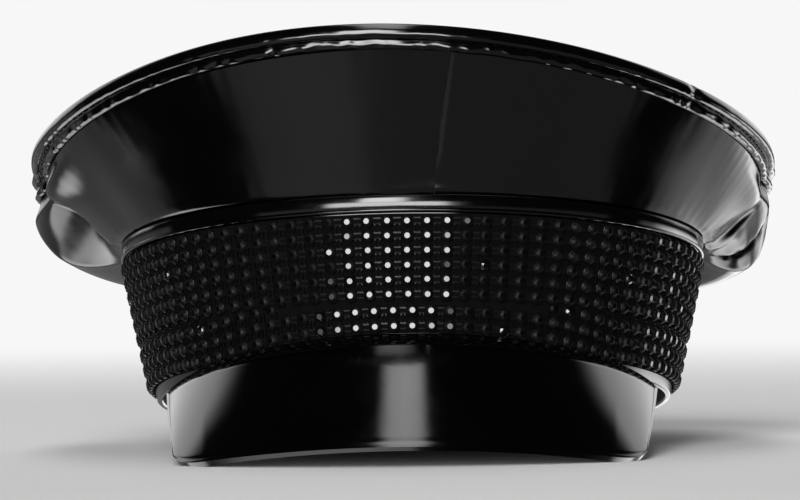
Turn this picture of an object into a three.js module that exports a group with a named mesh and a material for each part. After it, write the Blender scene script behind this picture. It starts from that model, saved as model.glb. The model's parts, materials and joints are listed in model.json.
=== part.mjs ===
// Peaked cap: a soft four-panel crown with a rolled top edge, a headband under a
// band of faceted stones in two strips, and a short peak that slopes down.
//
// Millimetres, +Z up, +X to the wearer's left, the peak towards -Y.
// The cap is drawn in its own frame, where the headband's lower rim is level and
// the head's centre line is the Z axis. Last, it is leaned back onto its peak and
// the back of its rim, as a cap lies on a table, with its origin under the middle
// of its box.
//
// Angles go round the cap from the middle of the front, through +X, to the back.

import * as THREE from 'three';

// Head opening and headband
const headWidth = 165;
const headLength = 195;
const bandWall = 2;
const bandDrop = 3.5;
const bandTop = 47.5;
const sideFlare = 0.216;
const frontFlare = 0.12;
const backFlare = 0.072;

// Stone mesh, which lies round the headband in two strips
const stoneColumns = 96;
const stoneRowPitch = 4.5;
const upperRows = 6;
const lowerRows = 3;
const meshThickness = 2.2;
const meshSelvage = 1.2;
const stoneShare = 0.62;
const meshArch = 5.5;
const meshArchAngle = 46;
const meshTop = stoneRowPitch * (upperRows + lowerRows) + meshSelvage;
const meshSplit = meshTop - stoneRowPitch * upperRows;

// Piping over the stones
const pipingDiameter = 1.2;

// Crown, measured to its edge
const crownWidth = 243;
const crownFront = 135;
const crownBack = 128;
const crownSideHeight = 75;
const crownFrontRise = 20;
const crownBackDrop = 5;
const crownShift = 3.3;
const crownSkew = 1.6;
const crownWall = 1.6;
const footTurn = 2;
const topDish = 4;
const topSink = 0.8;
const backFullness = 0.03;
const sideSeamAngle = 92;
const crownTurn = 5;

// Double roll round the crown's edge
const rollHeight = 4;
const puckerRollHeight = 3.8;
const rollWall = 2.2;
const rollStand = 1.3;
const puckerStand = 0.9;

// Peak
const peakThickness = 2;
const peakHalfAngle = 66;
const peakSeatFall = 10;
const peakReach = 132;
const peakCornerReach = 105;
const peakHalfWidth = 72;
const peakDrop = 33.5;
const peakCornerDrop = 35.5;
const peakCornerRadius = 10;
const peakCrown = 3;

// Clearances
const gap = 0.3;

// Facets
const quarterColumns = 18;
const seamCrowding = 0.6;
const bandColumns = 72;
const panelRows = 8;
const topRings = 5;
const peakColumns = 30;
const peakRows = 7;

// How a crown panel leaves the headband and meets the edge, as shares of the way
// out and of the way up, at the front, the sides and the back of the cap
const panelShape = {
  front: { lowOut: 0.06, lowUp: 0.24, highOut: 0.58, highUp: 0.6 },
  side: { lowOut: 0.34, lowUp: 0.24, highOut: 0.7, highUp: 0.64 },
  back: { lowOut: 0.87, lowUp: -0.41, highOut: 1.04, highUp: -0.14 },
};

// How fast the front shape and the front's rise fade towards the sides, and how
// far behind the sides, as a cosine, the back shape is complete
const frontShapePower = 1.2;
const frontRisePower = 1.6;
const backShapeStart = 0.19;

// One back quarter sags over the headband and the other is drawn up, with a minus
// sign: where in degrees round the cap, how wide in degrees, and how far
const sags = [
  { middle: 134, width: 34, drop: 1.9 },
  { middle: 262, width: 34, drop: -6 },
];

// Soft folds in the crown's panels: where they lie in degrees round the cap, at
// the headband and at the edge; how wide they are in degrees; and their depth as
// a share of the crown's width, with a minus sign for a ridge
const folds = [
  { low: 73, high: 65, width: 6, depth: 0.007 },
  { low: 97, high: 97, width: 4, depth: -0.006 },
  { low: 109, high: 106, width: 7, depth: 0.006 },
  { low: 137, high: 134, width: 12, depth: 0.006 },
  { low: 166, high: 170, width: 9, depth: 0.005 },
  { low: 197, high: 192, width: 10, depth: 0.005 },
  { low: 226, high: 229, width: 12, depth: 0.006 },
  { low: 259, high: 261, width: 6, depth: 0.006 },
  { low: 273, high: 273, width: 4, depth: -0.006 },
  { low: 283, high: 286, width: 5, depth: 0.007 },
];

// How much of its depth a fold keeps at the headband, and how evenly it runs up
const foldFootShare = 0.15;
const foldPower = 0.6;

// Seams of the crown in degrees round the cap, and the panels between them
const seams = [0, sideSeamAngle, 180, 360 - sideSeamAngle, 360].map((seam) => seam + crownTurn);
const panelNames = ['crown_front_left', 'crown_back_left', 'crown_back_right', 'crown_front_right'];

// Finishes
const patentVinyl = { color: 0x0b0a0b, roughness: 0.12, metalness: 0 };
const patentCrown = { color: 0x121113, roughness: 0.16, metalness: 0 };
const stonePlastic = { color: 0x060607, roughness: 0.2, metalness: 0 };

const radians = THREE.MathUtils.degToRad;

// A triangle list that is filled point by point
class Facets {
  constructor() {
    this.points = [];
    this.triangles = [];
  }

  point(place) {
    this.points.push(place.x, place.y, place.z);
    return this.points.length / 3 - 1;
  }

  triangle(a, b, c) {
    this.triangles.push(a, b, c);
  }

  quad(a, b, c, d) {
    this.triangles.push(a, b, c, a, c, d);
  }

  geometry() {
    const geometry = new THREE.BufferGeometry();
    geometry.setAttribute('position', new THREE.Float32BufferAttribute(this.points, 3));
    geometry.setIndex(this.triangles);
    geometry.computeVertexNormals();
    return geometry;
  }
}

// A closed hoop: one closed section at each angle, joined to the next. The
// section runs anticlockwise when seen with its outer side to the right.
function hoop(angles, sectionAt) {
  const facets = new Facets();
  const loops = angles.map((angle) => sectionAt(angle).map((place) => facets.point(place)));
  loops.forEach((loop, column) => {
    const next = loops[(column + 1) % loops.length];
    loop.forEach((corner, index) => {
      const after = (index + 1) % loop.length;
      facets.quad(corner, next[index], next[after], loop[after]);
    });
  });
  return facets.geometry();
}

// A curved wall between an outer and an inner face, closed along its four edges
function wall(columns, rows, outerAt, innerAt) {
  const facets = new Facets();
  const face = (placeAt) => columns.map((column) => rows.map((row) => facets.point(placeAt(column, row))));
  const outer = face(outerAt);
  const inner = face(innerAt);
  const lastColumn = columns.length - 1;
  const lastRow = rows.length - 1;
  for (let c = 0; c < lastColumn; c += 1) {
    for (let r = 0; r < lastRow; r += 1) {
      facets.quad(outer[c][r], outer[c + 1][r], outer[c + 1][r + 1], outer[c][r + 1]);
      facets.quad(inner[c][r], inner[c][r + 1], inner[c + 1][r + 1], inner[c + 1][r]);
    }
    facets.quad(inner[c][0], inner[c + 1][0], outer[c + 1][0], outer[c][0]);
    facets.quad(outer[c][lastRow], outer[c + 1][lastRow], inner[c + 1][lastRow], inner[c][lastRow]);
  }
  for (let r = 0; r < lastRow; r += 1) {
    facets.quad(inner[0][r], outer[0][r], outer[0][r + 1], inner[0][r + 1]);
    facets.quad(
      outer[lastColumn][r],
      inner[lastColumn][r],
      inner[lastColumn][r + 1],
      outer[lastColumn][r + 1],
    );
  }
  return facets.geometry();
}

// Evenly spaced angles all the way round, in degrees
function evenAngles(count) {
  return Array.from({ length: count }, (_, index) => (360 * index) / count);
}

// Shares from 0 to 1 that crowd together at both ends, where the seams are
function crowdedShares(count) {
  const shares = [];
  for (let index = 0; index <= count; index += 1) {
    const share = index / count;
    shares.push(share - (seamCrowding * Math.sin(2 * Math.PI * share)) / (2 * Math.PI));
  }
  return shares;
}

function evenShares(count) {
  return Array.from({ length: count + 1 }, (_, index) => index / count);
}

// A point of an oval that has one half length in front and another behind
function ovalPoint(oval, angle, height) {
  const turn = radians(angle);
  const length = Math.cos(turn) > 0 ? oval.front : oval.back;
  return new THREE.Vector3(oval.half * Math.sin(turn), -length * Math.cos(turn), height);
}

// Outward direction, level, at an angle round an oval
function ovalOut(oval, angle) {
  const turn = radians(angle);
  const length = Math.cos(turn) > 0 ? oval.front : oval.back;
  return new THREE.Vector3(length * Math.sin(turn), -oval.half * Math.cos(turn), 0).normalize();
}

// The headband's outer face at a height, moved out by a distance
function bandOval(height, out) {
  return {
    half: headWidth / 2 + bandWall + height * sideFlare + out,
    front: headLength / 2 + bandWall + height * frontFlare + out,
    back: headLength / 2 + bandWall + height * backFlare + out,
  };
}

function bandPoint(angle, height, out) {
  return ovalPoint(bandOval(height, out), angle, height);
}

// Degrees from the middle of the front, from 0 to 180 on both sides
function fromFront(angle) {
  const turned = ((angle % 360) + 360) % 360;
  return turned > 180 ? 360 - turned : turned;
}

// Headband: a plain wall whose lower rim is flat and level
function headbandGeometry() {
  return hoop(evenAngles(bandColumns), (angle) => [
    bandPoint(angle, -bandDrop, -bandWall),
    bandPoint(angle, -bandDrop, 0),
    bandPoint(angle, bandTop, 0),
    bandPoint(angle, bandTop, -bandWall),
  ]);
}

// Lower edge of the stones, which arches up over the peak
function meshFoot(angle) {
  const share = Math.min(fromFront(angle) / meshArchAngle, 1);
  return meshArch * (1 - share * share);
}

// A strip of stone mesh, with one upright rib for each column of stones
function stoneStrip(footAt, topAt) {
  const columnStep = 360 / stoneColumns;
  const back = gap;
  const valley = gap + meshThickness * (1 - stoneShare);
  const crest = gap + meshThickness;
  const angles = [];
  for (let column = 0; column < stoneColumns; column += 1) {
    const middle = column * columnStep;
    angles.push({ angle: middle - columnStep / 2, out: valley });
    angles.push({ angle: middle, out: crest });
  }
  return hoop(angles, ({ angle, out }) => [
    bandPoint(angle, footAt(angle), back),
    bandPoint(angle, footAt(angle), out),
    bandPoint(angle, topAt(angle), out),
    bandPoint(angle, topAt(angle), back),
  ]);
}

// Thin piping that closes the gap over the stones
function pipingGeometry() {
  const radius = pipingDiameter / 2;
  const height = meshTop + gap + radius;
  const sides = 6;
  return hoop(evenAngles(bandColumns), (angle) => {
    const oval = bandOval(height, gap + radius);
    const centre = ovalPoint(oval, angle, height);
    const out = ovalOut(oval, angle);
    return Array.from({ length: sides }, (_, side) => {
      const turn = (2 * Math.PI * (side + 0.5)) / sides;
      const place = centre.clone().addScaledVector(out, radius * Math.cos(turn));
      place.z += radius * Math.sin(turn);
      return place;
    });
  });
}

// How much of the front shape and of the back shape an angle has
function shapeShares(angle) {
  const lean = Math.cos(radians(angle));
  const front = lean > 0 ? lean ** frontShapePower : 0;
  const back = lean < 0 ? Math.min(1, -lean / backShapeStart) : 0;
  return { front, back, side: 1 - front - back };
}

function blendShape(angle, name) {
  const shares = shapeShares(angle);
  return (
    shares.front * panelShape.front[name] +
    shares.side * panelShape.side[name] +
    shares.back * panelShape.back[name]
  );
}

// Top edge of the crown, whose front stands a little higher on one side
function crownEdge(angle) {
  const lean = Math.cos(radians(angle));
  const skew = crownSkew * Math.sin(radians(2 * angle)) * lean;
  const rise =
    lean > 0 ? crownFrontRise * lean ** frontRisePower - skew : -crownBackDrop * lean * lean;
  const oval = { half: crownWidth / 2, front: crownFront, back: crownBack };
  const full = lean < 0 ? 1 + backFullness * Math.sin(radians(2 * angle)) ** 2 : 1;
  const place = ovalPoint(oval, angle, 0).multiplyScalar(full);
  place.x -= crownShift;
  place.z = crownSideHeight + rise;
  return place;
}

// Degrees between two angles the short way round
function angleBetween(one, other) {
  return fromFront(one - other);
}

// How far a crown panel sags at an angle
function sagAt(angle) {
  let sag = 0;
  for (const { middle, width, drop } of sags) {
    const away = angleBetween(angle, middle) / width;
    sag += drop * Math.exp(-away * away);
  }
  return sag;
}

// Depth of the soft folds at an angle and a share of the way up a panel
function foldDepth(angle, share) {
  const up = foldFootShare + share * (1 - foldFootShare);
  const fullness = Math.sin(Math.PI * up) ** foldPower;
  let depth = 0;
  for (const fold of folds) {
    const middle = fold.low + (fold.high - fold.low) * share;
    const away = angleBetween(angle, middle) / fold.width;
    depth += fold.depth * crownWidth * Math.exp(-away * away);
  }
  return depth * fullness;
}

// The crown's side without its folds: one smooth curve from headband to edge
function crownCurve(angle) {
  const foot = bandPoint(angle, bandTop + gap, 0);
  const edge = crownEdge(angle);
  const way = edge.clone().sub(foot);
  const sag = sagAt(angle);
  const step = (outShare, upShare) =>
    foot.clone().add(new THREE.Vector3(way.x * outShare, way.y * outShare, way.z * upShare - sag));
  return new THREE.CubicBezierCurve3(
    foot,
    step(blendShape(angle, 'lowOut'), blendShape(angle, 'lowUp')),
    step(blendShape(angle, 'highOut'), blendShape(angle, 'highUp')),
    edge,
  );
}

// The level direction in which a crown panel leans out
function levelWay(curve) {
  return new THREE.Vector3(curve.v3.x - curve.v0.x, curve.v3.y - curve.v0.y, 0).normalize();
}

// Out of a panel, at right angles to a direction along it
function outOf(level, along) {
  const side = new THREE.Vector3(0, 0, 1).cross(level);
  return side.cross(along).normalize();
}

// Frame at the crown's edge: along the panel, and out of it
function edgeFrame(angle) {
  const curve = crownCurve(angle);
  const along = curve.getTangent(1);
  return { edge: curve.v3, along, out: outOf(levelWay(curve), along) };
}

// A point of a crown panel, where out is measured from the middle of its wall. The
// lowest row stands on the headband's upper rim, level with its outer face, and
// turns over where the panel sags from there.
function panelPoint(angle, share, out) {
  const curve = crownCurve(angle);
  const level = levelWay(curve);
  if (share === 0) {
    const inward = crownWall / 2 - out;
    const foot = curve.v0.clone().addScaledVector(level, -inward);
    foot.z += inward * Math.max(0, -curve.getTangent(0).z) * footTurn;
    return foot;
  }
  const end = 1 - (rollHeight + puckerRollHeight + gap) / curve.getLength();
  const normal = outOf(level, curve.getTangentAt(share * end));
  const place = curve.getPointAt(share * end);
  return place.addScaledVector(normal, out - foldDepth(angle, share));
}

// One quarter of the crown's side, between two seams
function panelGeometry(fromAngle, toAngle) {
  const margin = THREE.MathUtils.radToDeg(gap / (headWidth + 2 * bandWall));
  const start = fromAngle + margin;
  const span = toAngle - fromAngle - 2 * margin;
  const angles = crowdedShares(quarterColumns).map((share) => start + share * span);
  return wall(
    angles,
    evenShares(panelRows),
    (angle, share) => panelPoint(angle, share, crownWall / 2),
    (angle, share) => panelPoint(angle, share, -crownWall / 2),
  );
}

// Angles of the crown's edge, which fall on the same places as the panels' columns
function crownAngles() {
  const angles = [];
  for (let quarter = 0; quarter < panelNames.length; quarter += 1) {
    const span = seams[quarter + 1] - seams[quarter];
    const shares = crowdedShares(quarterColumns).slice(0, -1);
    shares.forEach((share) => angles.push(seams[quarter] + share * span));
  }
  return angles;
}

// Double roll: a smooth roll over a puckered one, down the outside of the edge
function edgeRollGeometry() {
  const low = -(rollHeight + puckerRollHeight);
  const half = crownWall / 2;
  const section = [
    { out: -rollWall + half, along: low },
    { out: half, along: low },
    { out: half + puckerStand * 0.85, along: low + puckerRollHeight * 0.25 },
    { out: half + puckerStand, along: low + puckerRollHeight * 0.6 },
    { out: half + puckerStand * 0.15, along: -rollHeight },
    { out: half + rollStand, along: -rollHeight * 0.7 },
    { out: half + rollStand * 0.8, along: -rollHeight * 0.25 },
    { out: half - rollStand * 0.2, along: 0 },
    { out: -rollWall + half * 0.5, along: -rollHeight * 0.2 },
    { out: -rollWall + half, along: -rollHeight * 0.8 },
  ];
  return hoop(crownAngles(), (angle) => {
    const { edge, along, out } = edgeFrame(angle);
    return section.map((corner) =>
      edge.clone().addScaledVector(along, corner.along).addScaledVector(out, corner.out),
    );
  });
}

// Top panel: a thin dished sheet inside the roll
function crownTopGeometry() {
  const facets = new Facets();
  const angles = crownAngles();
  const middle = new THREE.Vector3(-crownShift, 0, crownSideHeight - topDish);
  const rims = angles.map((angle) => {
    const { edge, along, out } = edgeFrame(angle);
    const level = new THREE.Vector3(edge.x - middle.x, edge.y, 0).normalize();
    const slope = Math.max(0, along.dot(level) / along.z);
    const inset = gap * 2 + (crownWall + topSink) * slope;
    const rim = edge
      .clone()
      .addScaledVector(along, -rollHeight * 0.2)
      .addScaledVector(out, crownWall / 4 - rollWall)
      .addScaledVector(level, -inset);
    rim.z -= topSink;
    return rim;
  });
  const sheet = (lower) => {
    const centre = facets.point(new THREE.Vector3(middle.x, middle.y, middle.z - lower));
    const rings = [];
    for (let ring = 1; ring <= topRings; ring += 1) {
      const share = ring / topRings;
      rings.push(
        rims.map((rim) => {
          const place = middle.clone().lerp(rim, share);
          place.z = middle.z + (rim.z - middle.z) * share * share - lower;
          return facets.point(place);
        }),
      );
    }
    return { centre, rings };
  };
  const upper = sheet(0);
  const under = sheet(crownWall);
  const count = angles.length;
  for (let c = 0; c < count; c += 1) {
    const n = (c + 1) % count;
    facets.triangle(upper.centre, upper.rings[0][c], upper.rings[0][n]);
    facets.triangle(under.centre, under.rings[0][n], under.rings[0][c]);
    for (let ring = 0; ring < topRings - 1; ring += 1) {
      facets.quad(
        upper.rings[ring][c],
        upper.rings[ring + 1][c],
        upper.rings[ring + 1][n],
        upper.rings[ring][n],
      );
      facets.quad(
        under.rings[ring][c],
        under.rings[ring][n],
        under.rings[ring + 1][n],
        under.rings[ring + 1][c],
      );
    }
    const last = topRings - 1;
    facets.quad(upper.rings[last][c], under.rings[last][c], under.rings[last][n], upper.rings[last][n]);
  }
  return facets.geometry();
}

// Where the peak's upper face starts, on the headband under the stones
function peakRoot(share) {
  const angle = share * peakHalfAngle;
  const fall = peakSeatFall * share * share;
  const height = meshArch - gap * 2 - fall;
  return bandPoint(angle, height, gap + peakThickness);
}

// The peak's outer edge: a long bow across the front, which takes most of the
// columns, and two round corners, which take the rest
function peakRimCurve() {
  const depth = peakReach - peakCornerReach;
  const corner = new THREE.Vector3(peakHalfWidth, -peakCornerReach, -peakCornerDrop);
  const root = peakRoot(1);
  const back = root.clone().sub(corner).normalize();
  const bowPoint = (share) =>
    new THREE.Vector3(
      peakHalfWidth * share,
      -peakReach + depth * share ** 2,
      -peakDrop - (peakCornerDrop - peakDrop) * share ** 2,
    );
  const bowEnd = 1 - peakCornerRadius / peakHalfWidth;
  const bowShare = 0.72;
  const sideStart = corner.clone().addScaledVector(back, peakCornerRadius);
  const round = new THREE.QuadraticBezierCurve3(bowPoint(bowEnd), corner, sideStart);
  return (share) => {
    const turn = Math.abs(share);
    const place =
      turn < bowShare
        ? bowPoint((turn / bowShare) * bowEnd)
        : round.getPoint((turn - bowShare) / (1 - bowShare));
    place.x *= Math.sign(share) || 1;
    return place;
  };
}

function peakGeometry() {
  const rimAt = peakRimCurve();
  const bowCentre = new THREE.Vector3(0, -peakReach / 3, -peakDrop * 3);
  const upperAt = (across, share) => {
    const root = peakRoot(across);
    const rim = rimAt(across);
    const place = root.lerp(rim, share);
    const lift = place.clone().sub(bowCentre).normalize();
    const bow = 4 * share * (1 - share) * peakCrown;
    return place.addScaledVector(lift, bow);
  };
  const step = 0.002;
  const normalAt = (across, share) => {
    const right = upperAt(Math.min(across + step, 1), share);
    const left = upperAt(Math.max(across - step, -1), share);
    const low = upperAt(across, Math.min(share + step, 1));
    const high = upperAt(across, Math.max(share - step, 0));
    return low.sub(high).cross(right.sub(left)).normalize();
  };
  const lowerAt = (across, share) =>
    upperAt(across, share).addScaledVector(normalAt(across, share), -peakThickness);
  const across = evenShares(peakColumns).map((share) => share * 2 - 1);
  const down = evenShares(peakRows).map((share) => 1 - share);
  return wall(across, down, upperAt, lowerAt);
}

// The cap in its own frame
const capGroup = new THREE.Group();

function addPiece(name, geometry, finish) {
  const mesh = new THREE.Mesh(geometry, new THREE.MeshStandardMaterial(finish));
  mesh.name = name;
  capGroup.add(mesh);
  return mesh;
}

addPiece('headband', headbandGeometry(), patentVinyl);
addPiece('stone_mesh_upper', stoneStrip(() => meshSplit + gap, () => meshTop), stonePlastic);
addPiece('stone_mesh_lower', stoneStrip(meshFoot, () => meshSplit), stonePlastic);
addPiece('band_piping', pipingGeometry(), patentVinyl);
panelNames.forEach((name, quarter) => {
  addPiece(name, panelGeometry(seams[quarter], seams[quarter + 1]), patentCrown);
});
addPiece('crown_edge_roll', edgeRollGeometry(), patentVinyl);
addPiece('crown_top', crownTopGeometry(), patentCrown);
const peak = addPiece('peak', peakGeometry(), patentVinyl);

// Resting lean: the cap turns about the back of its rim until its peak touches
// the table
function restingLean() {
  const heel = bandPoint(180, -bandDrop, 0);
  const places = peak.geometry.getAttribute('position');
  let lean = 0;
  for (let index = 0; index < places.count; index += 1) {
    const fall = heel.z - places.getZ(index);
    const run = heel.y - places.getY(index);
    lean = Math.max(lean, Math.atan2(fall, run));
  }
  return lean;
}

capGroup.rotation.x = -restingLean();

const group = new THREE.Group();
group.add(capGroup);
group.updateMatrixWorld(true);
const box = new THREE.Box3().setFromObject(group, true);
capGroup.position.set(
  -(box.min.x + box.max.x) / 2,
  -(box.min.y + box.max.y) / 2,
  -box.min.z,
);

export default group;
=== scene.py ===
"""Peaked cap in black patent vinyl, dressed over its fixed solids and set on a pale floor.

Lengths are metres and angles are radians. The pieces are drawn in the cap's own frame, where
the headband's lower rim is level, and then leaned onto the peak as the solids are.
"""

import json
import math

import bpy
import numpy as np
from mathutils import Matrix, Vector


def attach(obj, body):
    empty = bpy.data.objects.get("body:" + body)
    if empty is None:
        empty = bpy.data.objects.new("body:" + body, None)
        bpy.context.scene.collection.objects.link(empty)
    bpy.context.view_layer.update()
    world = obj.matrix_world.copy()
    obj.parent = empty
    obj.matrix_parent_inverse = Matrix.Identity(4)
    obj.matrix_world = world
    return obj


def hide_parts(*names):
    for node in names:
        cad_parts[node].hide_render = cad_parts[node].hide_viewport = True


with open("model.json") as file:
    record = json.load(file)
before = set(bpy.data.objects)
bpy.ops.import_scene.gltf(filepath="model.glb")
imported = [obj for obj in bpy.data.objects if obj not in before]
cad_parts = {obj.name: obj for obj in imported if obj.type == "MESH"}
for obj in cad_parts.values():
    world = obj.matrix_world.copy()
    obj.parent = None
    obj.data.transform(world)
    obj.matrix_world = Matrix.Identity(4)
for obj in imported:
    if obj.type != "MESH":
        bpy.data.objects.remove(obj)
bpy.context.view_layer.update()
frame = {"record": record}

bl_info = {
    "name": "Peaked cap",
    "version": (1, 0, 0),
    "blender": (4, 5, 0),
    "location": "View3D > Sidebar > Cap",
    "description": "Builds a patent vinyl peaked cap with a stone band, and its studio",
    "category": "Add Mesh",
}

MM = 0.001
BODY = "root"


def linear_colour(hex_colour):
    """Linear red, green and blue of an sRGB hex colour such as #0b0a0b."""
    channels = [int(hex_colour[i:i + 2], 16) / 255 for i in (1, 3, 5)]
    return [c / 12.92 if c <= 0.04045 else ((c + 0.055) / 1.055) ** 2.4 for c in channels]


def length(name, millimetres, description):
    """A length that the user may change."""
    return bpy.props.FloatProperty(
        name=name, description=description, default=millimetres * MM,
        unit="LENGTH", subtype="DISTANCE", precision=5)


def turn(name, degrees, description):
    """An angle that the user may change."""
    return bpy.props.FloatProperty(
        name=name, description=description, default=math.radians(degrees),
        unit="ROTATION", subtype="ANGLE")


def share(name, value, description):
    """A plain number, mostly a part of some length."""
    return bpy.props.FloatProperty(name=name, description=description, default=value, precision=3)


def count(name, value, description):
    """A whole number of rows, columns or stones."""
    return bpy.props.IntProperty(name=name, description=description, default=value, min=1)


def colour(name, hex_colour, description):
    """A surface colour, kept linear."""
    return bpy.props.FloatVectorProperty(
        name=name, description=description, default=linear_colour(hex_colour),
        subtype="COLOR", size=3, min=0, max=1)


class CapBandSizes(bpy.types.PropertyGroup):
    """The headband, its collar and the piping over the stones."""

    head_width: length("Opening width", 165, "Inside width at the stones' lower edge")
    head_length: length("Opening length", 195, "Inside length at the stones' lower edge")
    wall: length("Wall", 2, "Thickness of the headband")
    drop: length("Drop", 3.5, "Headband below the stones")
    top: length("Height", 47.5, "Headband's upper rim over the stones' lower edge")
    side_flare: share("Side flare", 0.216, "Lean out of the sides for each unit of height")
    front_flare: share("Front flare", 0.12, "Lean out of the front for each unit of height")
    back_flare: share("Back flare", 0.072, "Lean out of the back for each unit of height")
    collar_bulge: length("Collar bulge", 1.1, "How far the rolled collar over the stones stands out")
    rim_round: length("Rim round", 0.5, "Rounding of the turned lower rim")
    piping: length("Piping diameter", 1.2, "Piping between the stones and the collar")
    gap: length("Gap", 0.3, "Clearance between neighbouring pieces")


class CapStoneSizes(bpy.types.PropertyGroup):
    """The moulded mesh of faceted stones, in an upper and a lower strip."""

    columns: count("Columns", 96, "Stones round the cap")
    upper_rows: count("Upper rows", 6, "Rows in the upper strip")
    lower_rows: count("Lower rows", 3, "Rows in the lower strip")
    pitch: length("Row pitch", 4.5, "Row to row in the upper strip")
    lower_pitch: length("Lower pitch", 4.7, "Row to row in the lower strip")
    selvage: length("Selvage", 1.2, "Bare edge under the lowest row")
    thickness: length("Thickness", 2.2, "Mesh from its back to the stones' tables")
    arch: length("Arch", 5.5, "Rise of the lower edge over the peak")
    arch_angle: turn("Arch reach", 46, "Angle from the front at which the arch ends")
    diameter: length("Stone diameter", 3.9, "Across a stone at its girdle")
    cup: length("Cup diameter", 4.3, "Across the moulded cup that holds a stone")
    bar_height: length("Bar height", 2.1, "Height of the bars between columns")
    link_width: length("Link width", 1.5, "Width of the links between rows")
    rail: length("Rail", 0.18, "Half width of the thin rails at both sides of a column")
    sparkle: share("Sparkle", 0.04, "Part of the stones that are polished all over")
    tuck: length("Tuck", 1.5, "How deep the lower strip's last row goes under the upper strip")
    lower_shift: share("Lower shift", 0.22, "Sideways shift of the lower strip in column steps")
    unevenness: turn("Unevenness", 3.2, "Largest random tilt of a stone")


class CapCrownSizes(bpy.types.PropertyGroup):
    """The soft crown: four quarter panels, a double rolled edge and a sunken top."""

    width: length("Width", 243, "Across the crown's edge")
    front: length("Front reach", 135, "Head's centre line to the edge in front")
    back: length("Back reach", 128, "Head's centre line to the edge behind")
    side_height: length("Side height", 75, "Edge over the stones' lower edge at the sides")
    front_rise: length("Front rise", 20, "Edge's further rise to the front")
    back_drop: length("Back drop", 5, "Edge's fall to the back")
    shift: length("Shift", 3.3, "How far the crown sits to the wearer's right")
    skew: length("Skew", 1.6, "How much higher the front stands on that side")
    wall: length("Wall", 1.6, "Thickness of the padded vinyl")
    dish: length("Dish", 4, "Depth of the sunken top")
    top_sink: length("Top sink", 0.8, "Top panel below the roll")
    fullness: share("Back fullness", 0.03, "Widening of the edge over the back quarters")
    side_seam: turn("Side seam", 92, "Side seams from the front seam")
    seam_turn: turn("Seam turn", 5, "Turn of all seams on the band")
    roll: length("Roll height", 4, "Height of the smooth roll on the edge")
    pucker_roll: length("Pucker roll height", 3.8, "Height of the topstitched roll under it")
    roll_wall: length("Roll wall", 2.2, "Thickness of the rolls' base")
    roll_stand: length("Roll stand", 2.0, "How far the smooth roll stands out")
    pucker_stand: length("Pucker stand", 1.8, "How far the topstitched roll stands out")
    pucker_depth: length("Pucker depth", 0.75, "Depth of the largest pucker")
    pucker_pitch: length("Pucker pitch", 6.4, "Mean distance between puckers")


class CapPeakSizes(bpy.types.PropertyGroup):
    """The stiff patent peak."""

    thickness: length("Thickness", 2, "Thickness of the peak")
    half_angle: turn("Half angle", 66, "Half of the angle over which it is sewn on")
    seat_fall: length("Seat fall", 10, "Fall of the sewn edge from the middle to the ends")
    reach: length("Reach", 132, "Head's centre line to the front edge")
    corner_reach: length("Corner reach", 105, "Head's centre line to the corners")
    half_width: length("Half width", 72, "Middle to a corner")
    drop: length("Drop", 33.5, "Front edge below the stones' lower edge")
    corner_drop: length("Corner drop", 35.5, "Corners below the stones' lower edge")
    corner_radius: length("Corner radius", 10, "Rounding of the corners")
    crown: length("Crown", 0.6, "Bow of the peak from root to edge")
    shelf: length("Shelf", 3.4, "How far the peak stands out before it falls")
    shelf_share: share("Shelf share", 0.13, "Share of the peak that the shelf takes")
    bead: length("Bead", 0.22, "Height of the pressed line along the edge")
    edge_round: length("Edge round", 0.85, "Rounding of the cut edge")


class CapFinishes(bpy.types.PropertyGroup):
    """Colours of the cap's materials."""

    vinyl: colour("Vinyl", "#020202", "Black patent vinyl")
    peak: colour("Peak vinyl", "#010101", "Stiffened black patent vinyl")
    backing: colour("Knit backing", "#1b1a1c", "Cloth back of the vinyl, seen inside")
    stone: colour("Stone", "#040405", "Moulded black plastic stones")
    net: colour("Net", "#060606", "Moulded plastic between the stones")
    tape: colour("Tape", "#050505", "Woven tape behind the stones")
    thread: colour("Thread", "#0d0c0d", "Topstitching thread")


class CapStage(bpy.types.PropertyGroup):
    """Floor, lights and camera."""

    distance: length("Camera distance", 1600, "Camera to the middle of the stones' lower edge")
    elevation: turn("Camera elevation", -7.1, "Camera's height angle over the headband's rim plane")
    azimuth: turn("Camera azimuth", 1.0, "Camera's turn round the cap")
    roll: turn("Camera roll", 0.7, "Camera's turn about its own axis")
    frame_width: length("Frame width", 262, "Width that the frame takes in at that distance")
    aim_height: length("Aim height", 46.5, "Frame's centre over the stones' lower edge")
    aim_side: length("Aim side", -4.1, "Frame's centre to the side of the cap's middle")
    floor: colour("Floor", "#dcdcdc", "Pale floor")
    backdrop: colour("Backdrop", "#f7f7f7", "Pale surroundings behind the cap")


def sizes(name):
    """The property group of that name on the open scene."""
    return getattr(bpy.context.scene, "cap_" + name)


# The cap's own frame in the row frame, from the flat rim that the record gives

def cap_matrix():
    """Turns and moves a point from the cap's own frame to the row frame."""
    band = sizes("band")
    rim = next(m for m in frame["record"]["mounts"] if m["name"] == "rim")
    up = -Vector(rim["axis"]).normalized()
    side = Vector((1, 0, 0))
    back = up.cross(side)
    turned = Matrix((side, back, up)).transposed()
    heel = Vector((0, band.head_length / 2 + band.wall / 2 - band.drop * band.back_flare, -band.drop))
    return Matrix.Translation(Vector(rim["pos_m"]) - turned @ heel) @ turned.to_4x4()


# Curves of the cap

def oval(half, front, back, angle, height):
    """Points round an oval with one half length in front and another behind."""
    reach = np.where(np.cos(angle) > 0, front, back)
    x = half * np.sin(angle)
    y = -reach * np.cos(angle)
    return np.stack(np.broadcast_arrays(x, y, height), -1)


def band_point(angle, height, out):
    """Points on the headband's outer face, moved out by a distance."""
    band = sizes("band")
    base = band.wall + out
    return oval(
        band.head_width / 2 + base + height * band.side_flare,
        band.head_length / 2 + base + height * band.front_flare,
        band.head_length / 2 + base + height * band.back_flare,
        angle, height)


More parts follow.
